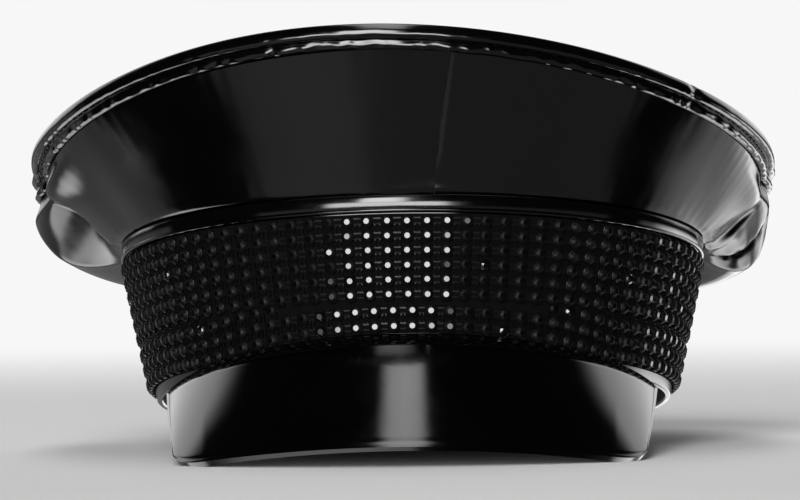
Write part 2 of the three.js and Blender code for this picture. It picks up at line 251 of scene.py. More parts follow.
def from_front(angle):
    """Angle from the middle of the front, from 0 to a half turn on both sides."""
    turned = np.mod(angle, 2 * np.pi)
    return np.where(turned > np.pi, 2 * np.pi - turned, turned)


def unit(vectors):
    """The vectors at length one."""
    return vectors / np.linalg.norm(vectors, axis=-1, keepdims=True)


def smooth_step(value, low, high):
    """0 below low, 1 above high and a smooth rise between."""
    t = np.clip((value - low) / (high - low), 0, 1)
    return t * t * (3 - 2 * t)


# Uneven waves round the cap: seed of their random draws, how many waves add up, and the fewest
# and the most turns that one of them makes
WAVERS = {
    "roll slack": {"seed": 3, "waves": 7, "fewest": 9, "most": 60},
    "collar": {"seed": 5, "waves": 7, "fewest": 12, "most": 60},
    "gathers": {"seed": 11, "waves": 9, "fewest": 40, "most": 150},
    "panel foot": {"seed": 12, "waves": 9, "fewest": 30, "most": 110},
    "top gathers": {"seed": 21, "waves": 9, "fewest": 20, "most": 70},
    "top slack": {"seed": 22, "waves": 4, "fewest": 2, "most": 6},
}


def waver(angle, name):
    """A closed, uneven wave round the cap, from -1 to 1, the same at each run."""
    kind = WAVERS[name]
    draw = np.random.RandomState(kind["seed"])
    total = np.zeros_like(angle)
    for _ in range(kind["waves"]):
        total += np.sin(draw.randint(kind["fewest"], kind["most"]) * angle + draw.uniform(0, 2 * np.pi))
    return total / kind["waves"]


# How a crown panel leaves the headband and meets the edge, as shares of the way out and up
PANEL_SHAPE = {
    "front": {"low_out": 0.06, "low_up": 0.24, "high_out": 0.58, "high_up": 0.6},
    "side": {"low_out": 0.34, "low_up": 0.24, "high_out": 0.7, "high_up": 0.64},
    "back": {"low_out": 0.87, "low_up": -0.41, "high_out": 1.04, "high_up": -0.14},
}
FRONT_SHAPE_POWER = 1.2
FRONT_RISE_POWER = 1.6
BACK_SHAPE_START = 0.19

# One back quarter sags over the headband and the other is drawn up, with a minus sign:
# degrees round the cap, width in degrees, and how far
SAGS = [
    {"middle": 134, "width": 34, "drop": 1.9 * MM},
    {"middle": 262, "width": 34, "drop": -6.0 * MM},
]

# Folds in the panels: degrees round the cap at the headband and at the edge, width in
# degrees, and depth as a share of the crown's width, with a minus sign for a ridge. One with a
# front width is a crease, which rises slowly over that width and breaks off sharply behind.
FOLDS = [
    {"low": 70, "high": 62, "width": 8, "depth": 0.002},
    {"low": 93, "high": 90, "width": 5, "front": 20, "depth": -0.009},
    {"low": 137, "high": 134, "width": 12, "depth": 0.004},
    {"low": 166, "high": 170, "width": 9, "depth": 0.005},
    {"low": 197, "high": 192, "width": 10, "depth": 0.005},
    {"low": 226, "high": 229, "width": 12, "depth": 0.003},
    {"low": 276, "high": 279, "width": 6, "front": 24, "depth": -0.014},
    {"low": 291, "high": 293, "width": 7, "depth": 0.004},
]

# Tips at both sides, where the panels stand out past the edge: degrees round the cap, width in
# degrees, share of the way up and how much of it the tip takes, and how far it stands out
TIPS = [
    {"middle": 91, "width": 10, "up": 0.84, "reach": 0.26, "out": 2.6 * MM},
    {"middle": 256, "width": 14, "up": 0.88, "reach": 0.17, "out": 2.6 * MM},
    {"middle": 277, "width": 11, "up": 0.9, "reach": 0.28, "out": 5.0 * MM},
]
TIP_TURN_IN = 0.7
FOLD_FOOT_SHARE = 0.15
FOLD_POWER = 0.6
CREASE_SHARPNESS = 1.4


def blend_shape(angle, name):
    """One number of the panel shape at each angle."""
    lean = np.cos(angle)
    front = np.where(lean > 0, np.abs(lean) ** FRONT_SHAPE_POWER, 0)
    back = np.where(lean < 0, np.minimum(1, -lean / BACK_SHAPE_START), 0)
    parts = {"front": front, "side": 1 - front - back, "back": back}
    return sum(part * PANEL_SHAPE[place][name] for place, part in parts.items())


def crown_edge(angle):
    """Points on the crown's edge."""
    crown = sizes("crown")
    lean = np.cos(angle)
    skew = crown.skew * np.sin(2 * angle) * lean
    front_rise = crown.front_rise * np.abs(lean) ** FRONT_RISE_POWER - skew
    rise = np.where(lean > 0, front_rise, -crown.back_drop * lean * lean)
    full = np.where(lean < 0, 1 + crown.fullness * np.sin(2 * angle) ** 2, 1)
    level = oval(crown.width / 2, crown.front, crown.back, angle, 0.0) * full[..., None]
    level[..., 0] -= crown.shift
    level[..., 2] = crown.side_height + rise
    return level


def sag_at(angle):
    """How far the panels sag at each angle."""
    total = 0
    for sag in SAGS:
        away = np.degrees(from_front(angle - math.radians(sag["middle"]))) / sag["width"]
        total = total + sag["drop"] * np.exp(-away * away)
    return total


def crown_curves(angle):
    """The four control points of the panel's curve at each angle, and its level way out."""
    band = sizes("band")
    foot = band_point(angle, np.full_like(angle, band.top + band.gap), 0)
    edge = crown_edge(angle)
    way = edge - foot

    sag = sag_at(angle)

    def step(out_name, up_name):
        out = blend_shape(angle, out_name)
        up = blend_shape(angle, up_name)
        place = foot + way * np.stack([out, out, up], -1)
        place[:, 2] -= sag
        return place

    level = way * np.array([1, 1, 0])
    controls = [foot, step("low_out", "low_up"), step("high_out", "high_up"), edge]
    return np.stack(controls, 1), unit(level)


def bezier(controls, t):
    """Points and directions of cubic curves, one row of t for each curve."""
    a, b, c, d = (controls[:, i, None, :] for i in range(4))
    t = t[..., None]
    s = 1 - t
    point = a * s**3 + 3 * b * s * s * t + 3 * c * s * t * t + d * t**3
    slope = 3 * ((b - a) * s * s + 2 * (c - b) * s * t + (d - c) * t * t)
    return point, slope


def out_of(level, along):
    """Directions out of the panels, square to the directions along them."""
    side = np.cross([0, 0, 1], level)
    return unit(np.cross(side, along))


def fold_depth(angle, up):
    """Depth of the soft folds at angles and shares of the way up."""
    crown = sizes("crown")
    rise = FOLD_FOOT_SHARE + up * (1 - FOLD_FOOT_SHARE)
    fullness = np.clip(np.sin(np.pi * rise), 0, 1) ** FOLD_POWER
    depth = 0
    for fold in FOLDS:
        middle = np.radians(fold["low"] + (fold["high"] - fold["low"]) * up)
        away = np.degrees(from_front(angle - middle)) / fold["width"]
        if "front" in fold:
            ahead = np.sin(angle - middle) * np.sign(np.sin(middle)) < 0
            away = np.where(ahead, away * fold["width"] / fold["front"], away)
            shape = np.exp(-np.abs(away) * CREASE_SHARPNESS)
        else:
            shape = np.exp(-away * away)
        depth = depth + fold["depth"] * crown.width * shape
    depth = depth * fullness
    for tip in TIPS:
        away = np.degrees(from_front(angle - math.radians(tip["middle"]))) / tip["width"]
        off = (up - tip["up"]) / tip["reach"]
        turned_in = 1 - TIP_TURN_IN * smooth_step(up, tip["up"], 1)
        depth = depth - tip["out"] * np.exp(-away * away - off * off) * turned_in
    return depth


# Meshes

def new_piece(name, vertices, faces, materials, face_materials=None, sharp=40):
    """A mesh object of the cap, leaned into the row frame and riding on its body."""
    mesh = bpy.data.meshes.new(name)
    mesh.from_pydata(np.asarray(vertices).reshape(-1, 3).tolist(), [], faces)
    mesh.transform(cap_matrix())
    for material in materials:
        mesh.materials.append(material)
    if face_materials is not None:
        mesh.polygons.foreach_set("material_index", face_materials)
    if sharp:
        mesh.shade_smooth()
        mesh.set_sharp_from_angle(angle=math.radians(sharp))
    mesh.validate()
    piece = bpy.data.objects.new(name, mesh)
    bpy.context.collection.objects.link(piece)
    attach(piece, BODY)
    return piece


def hoop_faces(columns, points):
    """Quads of a closed hoop of closed sections."""
    c, p = np.meshgrid(np.arange(columns), np.arange(points), indexing="ij")
    n = (c + 1) % columns
    q = (p + 1) % points
    quads = np.stack([c * points + p, n * points + p, n * points + q, c * points + q], -1)
    return quads.reshape(-1, 4).tolist()


def wall_faces(columns, rows):
    """Quads of a curved wall: outer face, inner face, then its four edges."""
    total = columns * rows
    c, r = np.meshgrid(np.arange(columns - 1), np.arange(rows - 1), indexing="ij")
    a, b = c * rows + r, (c + 1) * rows + r
    outer = np.stack([a, b, b + 1, a + 1], -1).reshape(-1, 4)
    inner = np.stack([a + 1, b + 1, b, a], -1).reshape(-1, 4) + total
    c, r = np.arange(columns - 1), np.arange(rows - 1)
    top = c * rows + rows - 1
    low = c * rows
    end = (columns - 1) * rows + r
    edges = [
        np.stack([low + total, low + rows + total, low + rows, low], -1),
        np.stack([top, top + rows, top + rows + total, top + total], -1),
        np.stack([r + total, r, r + 1, r + 1 + total], -1),
        np.stack([end, end + total, end + 1 + total, end + 1], -1),
    ]
    edge = np.concatenate(edges)
    faces = np.concatenate([outer, inner, edge]).tolist()
    return faces, len(outer), len(inner), len(edge)


# Materials

def add_node(tree, kind, settings=None, links=None, stops=None):
    """Adds a node, sets its properties or sockets by name, and links its inputs.

    stops are the places and grey values of a colour ramp.
    """
    node = tree.nodes.new(kind)
    if stops:
        elements = node.color_ramp.elements
        node.color_ramp.interpolation = "EASE"
        while len(elements) < len(stops):
            elements.new(1)
        for element, (place, value) in zip(elements, stops):
            element.position = place
            element.color = (value, value, value, 1)
    for name, value in (settings or {}).items():
        if isinstance(name, str) and hasattr(node, name):
            setattr(node, name, value)
        else:
            node.inputs[name].default_value = value
    for name, source in (links or {}).items():
        tree.links.new(source, node.inputs[name])
    return node


def new_material(name):
    """An empty node material and the object's own coordinates in it."""
    material = bpy.data.materials.new(name)
    material.use_nodes = True
    tree = material.node_tree
    tree.nodes.clear()
    place = add_node(tree, "ShaderNodeTexCoord").outputs["Object"]
    return material, tree, place


# A wave texture of scale 1 repeats after this length
WAVE_LENGTH = 2 * math.pi / 20

# Distances from bump to bump in the patterns
ORANGE_PEEL = 3 * MM
DRAPE = 26 * MM
DUST = 14 * MM
KNIT_WALES = 2.375 * MM
KNIT_MOTTLE = 9 * MM
MOULD_FLOW = 1.5 * MM
TAPE_PICKS = 0.99 * MM
TAPE_MOTTLE = 2 * MM
THREAD_TWIST = 0.99 * MM
PAPER_FIBRE = 4 * MM


def patent_vinyl(name, tint, gloss, peel, drape):
    """Lacquered PVC on cloth: a black mirror whose reflections wobble a little.

    gloss is the roughness, peel the height of the orange peel and drape the height of the
    slow waves that the cloth behind it leaves.
    """
    material, tree, place = new_material(name)
    fine, slow, wear = (
        add_node(tree, "ShaderNodeTexNoise", {"Scale": 1 / spacing, "Detail": detail}, {"Vector": place})
        for spacing, detail in ((ORANGE_PEEL, 2.0), (DRAPE, 1.0), (DUST, 5.0)))
    # Fine dust and rubs take a little of the mirror away
    rough = add_node(
        tree, "ShaderNodeMapRange",
        {"From Min": 0.35, "From Max": 0.75, "To Min": gloss, "To Max": gloss * 1.9},
        {"Value": wear.outputs["Fac"]})
    broad = add_node(
        tree, "ShaderNodeBump", {"Strength": 1.0, "Distance": drape}, {"Height": slow.outputs["Fac"]})
    skin = add_node(
        tree, "ShaderNodeBump", {"Strength": 1.0, "Distance": peel},
        {"Height": fine.outputs["Fac"], "Normal": broad.outputs["Normal"]})
    shader = add_node(
        tree, "ShaderNodeBsdfPrincipled", {"Base Color": (*tint, 1), "IOR": 1.5},
        {"Roughness": rough.outputs["Result"], "Normal": skin.outputs["Normal"]})
    add_node(tree, "ShaderNodeOutputMaterial", {}, {"Surface": shader.outputs["BSDF"]})
    return material


def knit_backing(name, tint):
    """Tricot knit glued to the vinyl's back: matt, with fine ribs that catch a soft sheen."""
    material, tree, place = new_material(name)
    # Real wales are 0.6 mm apart, too fine to show; they are drawn 2.4 mm apart
    ribs = add_node(
        tree, "ShaderNodeTexWave", {"Scale": WAVE_LENGTH / KNIT_WALES, "Distortion": 1.5, "Detail": 2.0},
        {"Vector": place})
    mottle = add_node(
        tree, "ShaderNodeTexNoise", {"Scale": 1 / KNIT_MOTTLE, "Detail": 4.0}, {"Vector": place})
    shade = add_node(
        tree, "ShaderNodeMix",
        {"data_type": "RGBA", 6: (*[c * 0.7 for c in tint], 1), 7: (*[c * 1.3 for c in tint], 1)},
        {"Factor": mottle.outputs["Fac"]})
    relief = add_node(
        tree, "ShaderNodeBump", {"Strength": 0.8, "Distance": 0.15 * MM}, {"Height": ribs.outputs["Fac"]})
    shader = add_node(
        tree, "ShaderNodeBsdfPrincipled",
        {"Roughness": 0.9, "Sheen Weight": 0.25, "Sheen Roughness": 0.5},
        {"Base Color": shade.outputs[2], "Normal": relief.outputs["Normal"]})
    add_node(tree, "ShaderNodeOutputMaterial", {}, {"Surface": shader.outputs["BSDF"]})
    return material


def moulded_plastic(name, tint, gloss, grain, shine):
    """Injection-moulded black styrene: sharp glints on the facets, faint flow marks between.

    gloss is the roughness, grain the height of the flow marks and shine the strength of the
    glints.
    """
    material, tree, place = new_material(name)
    flow = add_node(tree, "ShaderNodeTexNoise", {"Scale": 1 / MOULD_FLOW, "Detail": 3.0}, {"Vector": place})
    relief = add_node(
        tree, "ShaderNodeBump", {"Strength": 1.0, "Distance": grain}, {"Height": flow.outputs["Fac"]})
    rough = add_node(
        tree, "ShaderNodeMapRange", {"To Min": gloss * 0.7, "To Max": gloss * 1.5},
        {"Value": flow.outputs["Fac"]})
    shader = add_node(
        tree, "ShaderNodeBsdfPrincipled",
        {"Base Color": (*tint, 1), "IOR": 1.59, "Specular IOR Level": shine},
        {"Roughness": rough.outputs["Result"], "Normal": relief.outputs["Normal"]})
    add_node(tree, "ShaderNodeOutputMaterial", {}, {"Surface": shader.outputs["BSDF"]})
    return material


def woven_tape(name, tint):
    """Matt woven tape under the net: takes the light away, with a faint weave close up."""
    material, tree, place = new_material(name)
    # Picks of the real weave are 0.5 mm apart; they are drawn 1 mm apart
    weave = add_node(
        tree, "ShaderNodeTexWave",
        {"Scale": WAVE_LENGTH / TAPE_PICKS, "bands_direction": "Z", "Distortion": 1.0}, {"Vector": place})
    mottle = add_node(
        tree, "ShaderNodeTexNoise", {"Scale": 1 / TAPE_MOTTLE, "Detail": 3.0}, {"Vector": place})
    both = add_node(
        tree, "ShaderNodeMath", {"operation": "ADD"}, {0: weave.outputs["Fac"], 1: mottle.outputs["Fac"]})
    relief = add_node(
        tree, "ShaderNodeBump", {"Strength": 0.8, "Distance": 0.06 * MM}, {"Height": both.outputs["Value"]})
    shader = add_node(
        tree, "ShaderNodeBsdfPrincipled",
        {"Base Color": (*tint, 1), "Roughness": 0.95, "Specular IOR Level": 0.07},
        {"Normal": relief.outputs["Normal"]})
    add_node(tree, "ShaderNodeOutputMaterial", {}, {"Surface": shader.outputs["BSDF"]})
    return material


def spun_thread(name, tint):
    """Spun polyester sewing thread: dull, with a twist that shows as fine slanting ribs."""
    material, tree, place = new_material(name)
    # Real twists are 0.5 mm apart; they are drawn 1 mm apart
    twist = add_node(
        tree, "ShaderNodeTexWave",
        {"Scale": WAVE_LENGTH / THREAD_TWIST, "bands_direction": "DIAGONAL", "Distortion": 0.5},
        {"Vector": place})
    relief = add_node(
        tree, "ShaderNodeBump", {"Strength": 0.7, "Distance": 0.05 * MM}, {"Height": twist.outputs["Fac"]})
    shader = add_node(
        tree, "ShaderNodeBsdfPrincipled", {"Base Color": (*tint, 1), "Roughness": 0.55},
        {"Normal": relief.outputs["Normal"]})
    add_node(tree, "ShaderNodeOutputMaterial", {}, {"Surface": shader.outputs["BSDF"]})
    return material


def finish_of(name):
    """The material of that name, made at its first use."""
    finishes = sizes("finishes")
    known = bpy.data.materials.get(name)
    if known:
        return known
    maker, tint, *settings = {
        "soft_patent": (patent_vinyl, finishes.vinyl, 0.10, 0.010 * MM, 0.25 * MM),
        "rolled_patent": (patent_vinyl, finishes.vinyl, 0.09, 0.012 * MM, 0.10 * MM),
        "stiff_patent": (patent_vinyl, finishes.peak, 0.07, 0.006 * MM, 0.05 * MM),
        "knit_backing": (knit_backing, finishes.backing),
        "stone_plastic": (moulded_plastic, finishes.stone, 0.06, 0.004 * MM, 0.5),
        "stone_flank": (moulded_plastic, finishes.stone, 0.5, 0.01 * MM, 0.1),
        "net_plastic": (moulded_plastic, finishes.net, 0.36, 0.02 * MM, 0.14),
        "woven_tape": (woven_tape, finishes.tape),
        "spun_thread": (spun_thread, finishes.thread),
    }[name]
    return maker(name, tint, *settings)


# Crown

CURVE_STEPS = 81
FOOT_TURN = 2
SETTLE = 3 * MM

# The groove of a seam, which starts a little over the foot, and the puckers beside it
SEAM_DIP = 0.5 * MM
SEAM_GROOVE = 1.012 * MM
SEAM_START = (2 * MM, 14 * MM)
SEAM_PUCKER = 0.12 * MM
SEAM_PUCKER_REACH = 4.8 * MM
SEAM_PUCKER_PITCH = 5.0 * MM
SEAM_LEAN = math.radians(3)
SEAM_LEAN_WIDTH = math.radians(38)

# Drawn-in lines where a panel goes under the topstitched roll and into the headband
GATHER_DEPTH = 0.14 * MM
GATHER_REACH = 7 * MM
FOOT_DEPTH = 0.15 * MM
FOOT_REACH = 6 * MM


def panel_grid(first, last, columns, rows):
    """Outer and inner points of a crown panel between two seam angles."""
    crown, band = sizes("crown"), sizes("band")
    margin = band.gap / (band.head_width + 2 * band.wall)
    angle = np.linspace(first + margin, last - margin, columns)
    controls, level = crown_curves(angle)
    t = np.linspace(0, 1, CURVE_STEPS)
    points, _ = bezier(controls, np.broadcast_to(t, (columns, len(t))))
    lengths = np.concatenate(
        [np.zeros((columns, 1)), np.cumsum(np.linalg.norm(np.diff(points, axis=1), axis=2), axis=1)], 1)
    up = np.linspace(0, 1, rows)
    whole = lengths[:, -1:]
    reach = up * (whole - crown.roll - crown.pucker_roll - band.gap)
    place_t = np.stack([np.interp(reach[i], lengths[i], t) for i in range(columns)])
    points, slopes = bezier(controls, place_t)
    normal = out_of(level[:, None, :], slopes)
    around = np.broadcast_to(angle[:, None], place_t.shape)
    rise = np.broadcast_to(up[None, :], place_t.shape)
    fold = fold_depth(around, rise)

    # The panel turns in at its seams and puckers a little along them
    radius = np.linalg.norm(points[..., :2], axis=-1)
    to_seam = np.minimum(around - first, last - around) * radius
    dip = SEAM_DIP * np.exp(-((to_seam / SEAM_GROOVE) ** 2)) * smooth_step(reach, *SEAM_START)
    pucker = SEAM_PUCKER * np.exp(-to_seam / SEAM_PUCKER_REACH)
    pucker = pucker * np.sin(2 * np.pi * reach / SEAM_PUCKER_PITCH + first)

    to_edge = reach[:, -1:] - reach
    gathers = GATHER_DEPTH * np.exp(-to_edge / GATHER_REACH) * waver(around, "gathers")
    foot = FOOT_DEPTH * np.exp(-reach / FOOT_REACH) * waver(around, "panel foot")
    out = (-fold - dip + pucker + gathers + foot) * smooth_step(reach, 0, SETTLE)
    outer = points + normal * (crown.wall / 2 + out)[..., None]
    inner = points + normal * (-crown.wall / 2 + out)[..., None]

    # The lowest row stands on the headband, level with its outer face
    outer[:, 0] = controls[:, 0]
    inner[:, 0] = controls[:, 0] - level * crown.wall
    droop = np.clip(-unit(controls[:, 1] - controls[:, 0])[:, 2], 0, 1)
    inner[:, 0, 2] += crown.wall * droop * FOOT_TURN

    # The front seam leans towards the wearer's left on its way up
    from_seam = from_front(around - crown.seam_turn) / SEAM_LEAN_WIDTH
    lean = SEAM_LEAN * rise * np.exp(-from_seam * from_seam)
    for wall in (outer, inner):
        x, y = wall[..., 0].copy(), wall[..., 1].copy()
        wall[..., 0] = x * np.cos(lean) - y * np.sin(lean)
        wall[..., 1] = x * np.sin(lean) + y * np.cos(lean)
    return outer, inner


class CAP_OT_crown_panels(bpy.types.Operator):
    """Makes the four quarter panels of the crown's side"""

    bl_idname = "cap.crown_panels"
    bl_label = "Crown Panels"
    columns: count("Columns", 150, "Points along a panel")
    rows: count("Rows", 48, "Points up a panel")

    def execute(self, context):
        crown = sizes("crown")
        seams = np.array([0, crown.side_seam, math.pi, 2 * math.pi - crown.side_seam, 2 * math.pi])
        seams = (seams + crown.seam_turn).tolist()
        names = ["crown_front_left", "crown_back_left", "crown_back_right", "crown_front_right"]
        for name, first, last in zip(names, seams, seams[1:]):
            outer, inner = panel_grid(first, last, self.columns, self.rows)
            faces, n_outer, n_inner, n_edge = wall_faces(self.columns, self.rows)
            slots = [0] * n_outer + [1] * n_inner + [0] * n_edge
            piece = new_piece(
                name + "_panel", np.stack([outer, inner]), faces,
                [finish_of("soft_patent"), finish_of("knit_backing")], slots)
            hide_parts(name)
        return {"FINISHED"}


# The rolls hang, so they are fullest below their middles
ROLL_SAG = 0.65
ROLL_FULLNESS = 0.8

# The rolls' ends lap at one place and leave a small notch: how far each draws in there
ROLL_JOINT = math.radians(50)
ROLL_JOINT_WIDTH = math.radians(1.0)
SMOOTH_NOTCH = 0.9 * MM
PUCKER_NOTCH = 0.8 * MM
NOTCH_FALL = 1.0 * MM

# Slack of the rolls, and the share of the puckers that runs on into the smooth one
PUCKER_SLACK = 0.15 * MM
SMOOTH_SLACK = 0.12 * MM
SMOOTH_PUCKER = 0.4

# The smooth roll turns in over its last part, and its inner side drops to the top panel:
# shares of the roll's wall, of a half turn, and of the roll's height
ROLL_TURN_IN = 0.35
TURN_IN_START = 0.6
ROLL_INNER = [(0.4, 0.06), (0, 0.3)]


def edge_frames(angle):
    """Edge points, directions up the panel and directions out of it."""
    controls, level = crown_curves(angle)
    edge, slope = bezier(controls, np.ones((len(angle), 1)))
    along = unit(slope[:, 0])
    return edge[:, 0], along, out_of(level, along)


def pucker_depths(angle):
    """Uneven puckers round the edge: 0 on a crest and 1 in the deepest."""
    crown = sizes("crown")
    draw = np.random.RandomState(7)
    girth = math.pi * crown.width
    number = int(girth / crown.pucker_pitch)
    step = 2 * np.pi / number
    middles = (np.arange(number) + draw.uniform(-0.33, 0.33, number)) * step
    depths = draw.uniform(0.25, 1, number)
    widths = draw.uniform(0.2, 0.5, number) * step
    total = np.zeros_like(angle)
    for middle, depth, width in zip(middles, depths, widths):
        total = np.maximum(total, depth * np.exp(-((from_front(angle - middle) / width) ** 2)))
    return total


def roll_fullness(turned):
    """Share of the way up a roll, and how full it is there, at an angle over its arc."""
    up = (1 - math.cos(turned)) / 2
    return up, abs(math.sin(math.pi * up**ROLL_SAG))


def off_edge(frames, height, stand):
    """Points off the crown's edge, up along the panel and out of it."""
    edge, along, out = frames
    height, stand = (np.broadcast_to(value, len(edge))[:, None] for value in (height, stand))
    return edge + along * height + out * stand


class CAP_OT_edge_roll(bpy.types.Operator):
    """Makes the double roll round the crown's edge, smooth above and puckered below"""

    bl_idname = "cap.edge_roll"
    bl_label = "Edge Roll"
    columns: count("Columns", 1200, "Sections round the edge")
    arc: count("Arc points", 9, "Points over each roll")

    def execute(self, context):
        crown = sizes("crown")
        angle = np.linspace(0, 2 * np.pi, self.columns, endpoint=False)
        pucker = pucker_depths(angle) * crown.pucker_depth
        slack = waver(angle, "roll slack")
        joint = np.exp(-((from_front(angle - ROLL_JOINT) / ROLL_JOINT_WIDTH) ** 2))
        half = crown.wall / 2
        low = -(crown.roll + crown.pucker_roll)
        arc = np.linspace(0, np.pi, self.arc)
        section = []
        for turned in arc:
            up, full = roll_fullness(turned)
            stand = crown.pucker_stand * full**ROLL_FULLNESS - (pucker + PUCKER_NOTCH * joint) * full
            section.append((low + crown.pucker_roll * up + PUCKER_SLACK * slack, half + stand))
        for turned in arc[1:]:
            up, full = roll_fullness(turned)
            drawn_in = SMOOTH_PUCKER * pucker * (1 - up) + SMOOTH_NOTCH * joint - SMOOTH_SLACK * slack
            stand = crown.roll_stand * full**ROLL_FULLNESS - drawn_in * full
            inward = crown.roll_wall * ROLL_TURN_IN * smooth_step(turned, TURN_IN_START * np.pi, np.pi)
            section.append((-crown.roll * (1 - up) - NOTCH_FALL * joint * up, half + stand - inward))
        inner = half - crown.roll_wall
        section += [(-crown.roll * fall, inner + half * off) for off, fall in ROLL_INNER]
        section.append((low, inner))
        frames = edge_frames(angle)
        loop = [off_edge(frames, height, stand) for height, stand in section]
        piece = new_piece(
            "crown_edge_roll_soft", np.stack(loop, 1), hoop_faces(self.columns, len(loop)),
            [finish_of("rolled_patent")], sharp=60)
        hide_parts("crown_edge_roll")
        return {"FINISHED"}


# A stitch lifts off the groove in its middle and sinks in at its ends, in thread diameters, and
# is thinner at its ends. The edge is a little longer than an oval's mean girth.
STITCH_STEPS = 7
STITCH_LIFT = (0.15, 0.35)
STITCH_THICKNESS = (0.25, 0.75)
EDGE_GIRTH = 1.05


class CAP_OT_topstitch(bpy.types.Operator):
    """Sews the line of stitches in the groove between the two rolls"""

    bl_idname = "cap.topstitch"
    bl_label = "Topstitch"
    pitch: length("Stitch pitch", 3.2, "Start of one stitch to the next")
    stitch: length("Stitch length", 2.3, "Length that shows")
    thread: length("Thread diameter", 0.45, "Thickness of the thread")
    sides: count("Sides", 6, "Sides of the thread")

    def execute(self, context):
        crown = sizes("crown")
        sides = range(self.sides)
        number = int(math.pi * (crown.width + crown.front) / 2 * EDGE_GIRTH / self.pitch)
        half_turn = self.stitch / crown.width
        steps = np.linspace(-1, 1, STITCH_STEPS)
        bow = np.sqrt(np.clip(1 - steps**2, 0, 1))
        lift = crown.wall / 2 + self.thread * (STITCH_LIFT[0] + STITCH_LIFT[1] * bow)
        radius = self.thread / 2 * (STITCH_THICKNESS[0] + STITCH_THICKNESS[1] * bow)
        vertices, faces = [], []
        for stitch in range(number):
            frames = edge_frames(stitch * 2 * np.pi / number + steps * half_turn)
            start = len(vertices)
            ring_points = [
                off_edge(
                    frames, radius * math.sin(2 * np.pi * side / self.sides) - crown.roll,
                    radius * math.cos(2 * np.pi * side / self.sides) + lift)
                for side in sides]
            vertices.extend(np.stack(ring_points, 1).reshape(-1, 3))
            for step in range(STITCH_STEPS - 1):
                for side in sides:
                    a = start + step * self.sides + side
                    b = start + step * self.sides + (side + 1) % self.sides
                    faces.append((a, a + self.sides, b + self.sides, b))
            last = start + (STITCH_STEPS - 1) * self.sides
            faces.append(tuple(start + side for side in sides))
            faces.append(tuple(last + side for side in reversed(sides)))
        piece = new_piece("crown_topstitch", vertices, faces, [finish_of("spun_thread")])
        return {"FINISHED"}


# Soft lines run in from the sewn edge of the top and fade; over the whole top lies a slow slack
TOP_GATHER_DEPTH = 0.45 * MM
TOP_GATHER_REACH = 14 * MM
TOP_SLACK = 0.9 * MM
TOP_SETTLE = 1.5 * MM
TOP_SEAT = 0.2


class CAP_OT_crown_top(bpy.types.Operator):
    """Makes the sunken top panel inside the roll"""

    bl_idname = "cap.crown_top"
    bl_label = "Crown Top"
    columns: count("Columns", 360, "Points round the panel")
    rings: count("Rings", 56, "Points from the middle to the edge")

    def execute(self, context):
        crown, band = sizes("crown"), sizes("band")
        angle = np.linspace(0, 2 * np.pi, self.columns, endpoint=False)
        edge, along, _ = frames = edge_frames(angle)
        middle = np.array([-crown.shift, 0, crown.side_height - crown.dish])
        level = unit((edge - middle) * np.array([1, 1, 0]))
        slope = np.maximum(0, np.sum(along * level, 1) / along[:, 2])
        inset = band.gap * 2 + (crown.wall + crown.top_sink) * slope
        rim = off_edge(frames, -crown.roll * TOP_SEAT, crown.wall / 4 - crown.roll_wall)
        rim = rim - level * inset[:, None]
        rim[:, 2] -= crown.top_sink
        steps = np.linspace(0, 1, self.rings + 1)[1:]
        bowl = np.stack([steps, steps, steps**2], -1)
        top = middle + (rim - middle)[:, None, :] * bowl[None]
        around = np.broadcast_to(angle[:, None], top.shape[:2])
        to_edge = (1 - steps) * crown.width / 2
        drawn = TOP_GATHER_DEPTH * waver(around, "top gathers") * np.exp(-to_edge / TOP_GATHER_REACH)
        slack = TOP_SLACK * waver(around, "top slack") * 4 * steps**2 * (1 - steps)
        top[..., 2] += (drawn + slack) * smooth_step(to_edge, 0, TOP_SETTLE)
        down = np.array([0, 0, crown.wall])
        columns, rings = self.columns, self.rings
        total = columns * rings
        centre_top, centre_under = 2 * total, 2 * total + 1
        vertices = np.concatenate([top.reshape(-1, 3), (top - down).reshape(-1, 3), [middle, middle - down]])
        c, r = np.meshgrid(np.arange(columns), np.arange(rings - 1), indexing="ij")
        n = (c + 1) % columns
        upper = np.stack([c * rings + r, c * rings + r + 1, n * rings + r + 1, n * rings + r], -1)
        lower = upper[..., ::-1] + total
        c = np.arange(columns)
        n = (c + 1) % columns
        last = rings - 1
        rim_quads = np.stack(
            [c * rings + last, c * rings + last + total, n * rings + last + total, n * rings + last], -1)
        faces = upper.reshape(-1, 4).tolist() + rim_quads.tolist()
        faces += [(centre_top, int(a) * rings, int(b) * rings) for a, b in zip(c, n)]
        outer_count = len(faces)
        faces += lower.reshape(-1, 4).tolist()
        faces += [(centre_under, int(b) * rings + total, int(a) * rings + total) for a, b in zip(c, n)]
        slots = [0] * outer_count + [1] * (len(faces) - outer_count)
        piece = new_piece(
            "crown_top_panel", vertices, faces,
            [finish_of("soft_patent"), finish_of("knit_backing")], slots)
        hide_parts("crown_top")
        return {"FINISHED"}


# Headband and piping

# How uneven the collar's bulge is, and how flat it is on top
COLLAR_UNEVEN = 0.12
COLLAR_FULLNESS = 0.75


def stones_top():
    """Height of the stone mesh's upper edge."""
    stones = sizes("stones")
    return stones.pitch * (stones.upper_rows + stones.lower_rows) + stones.selvage


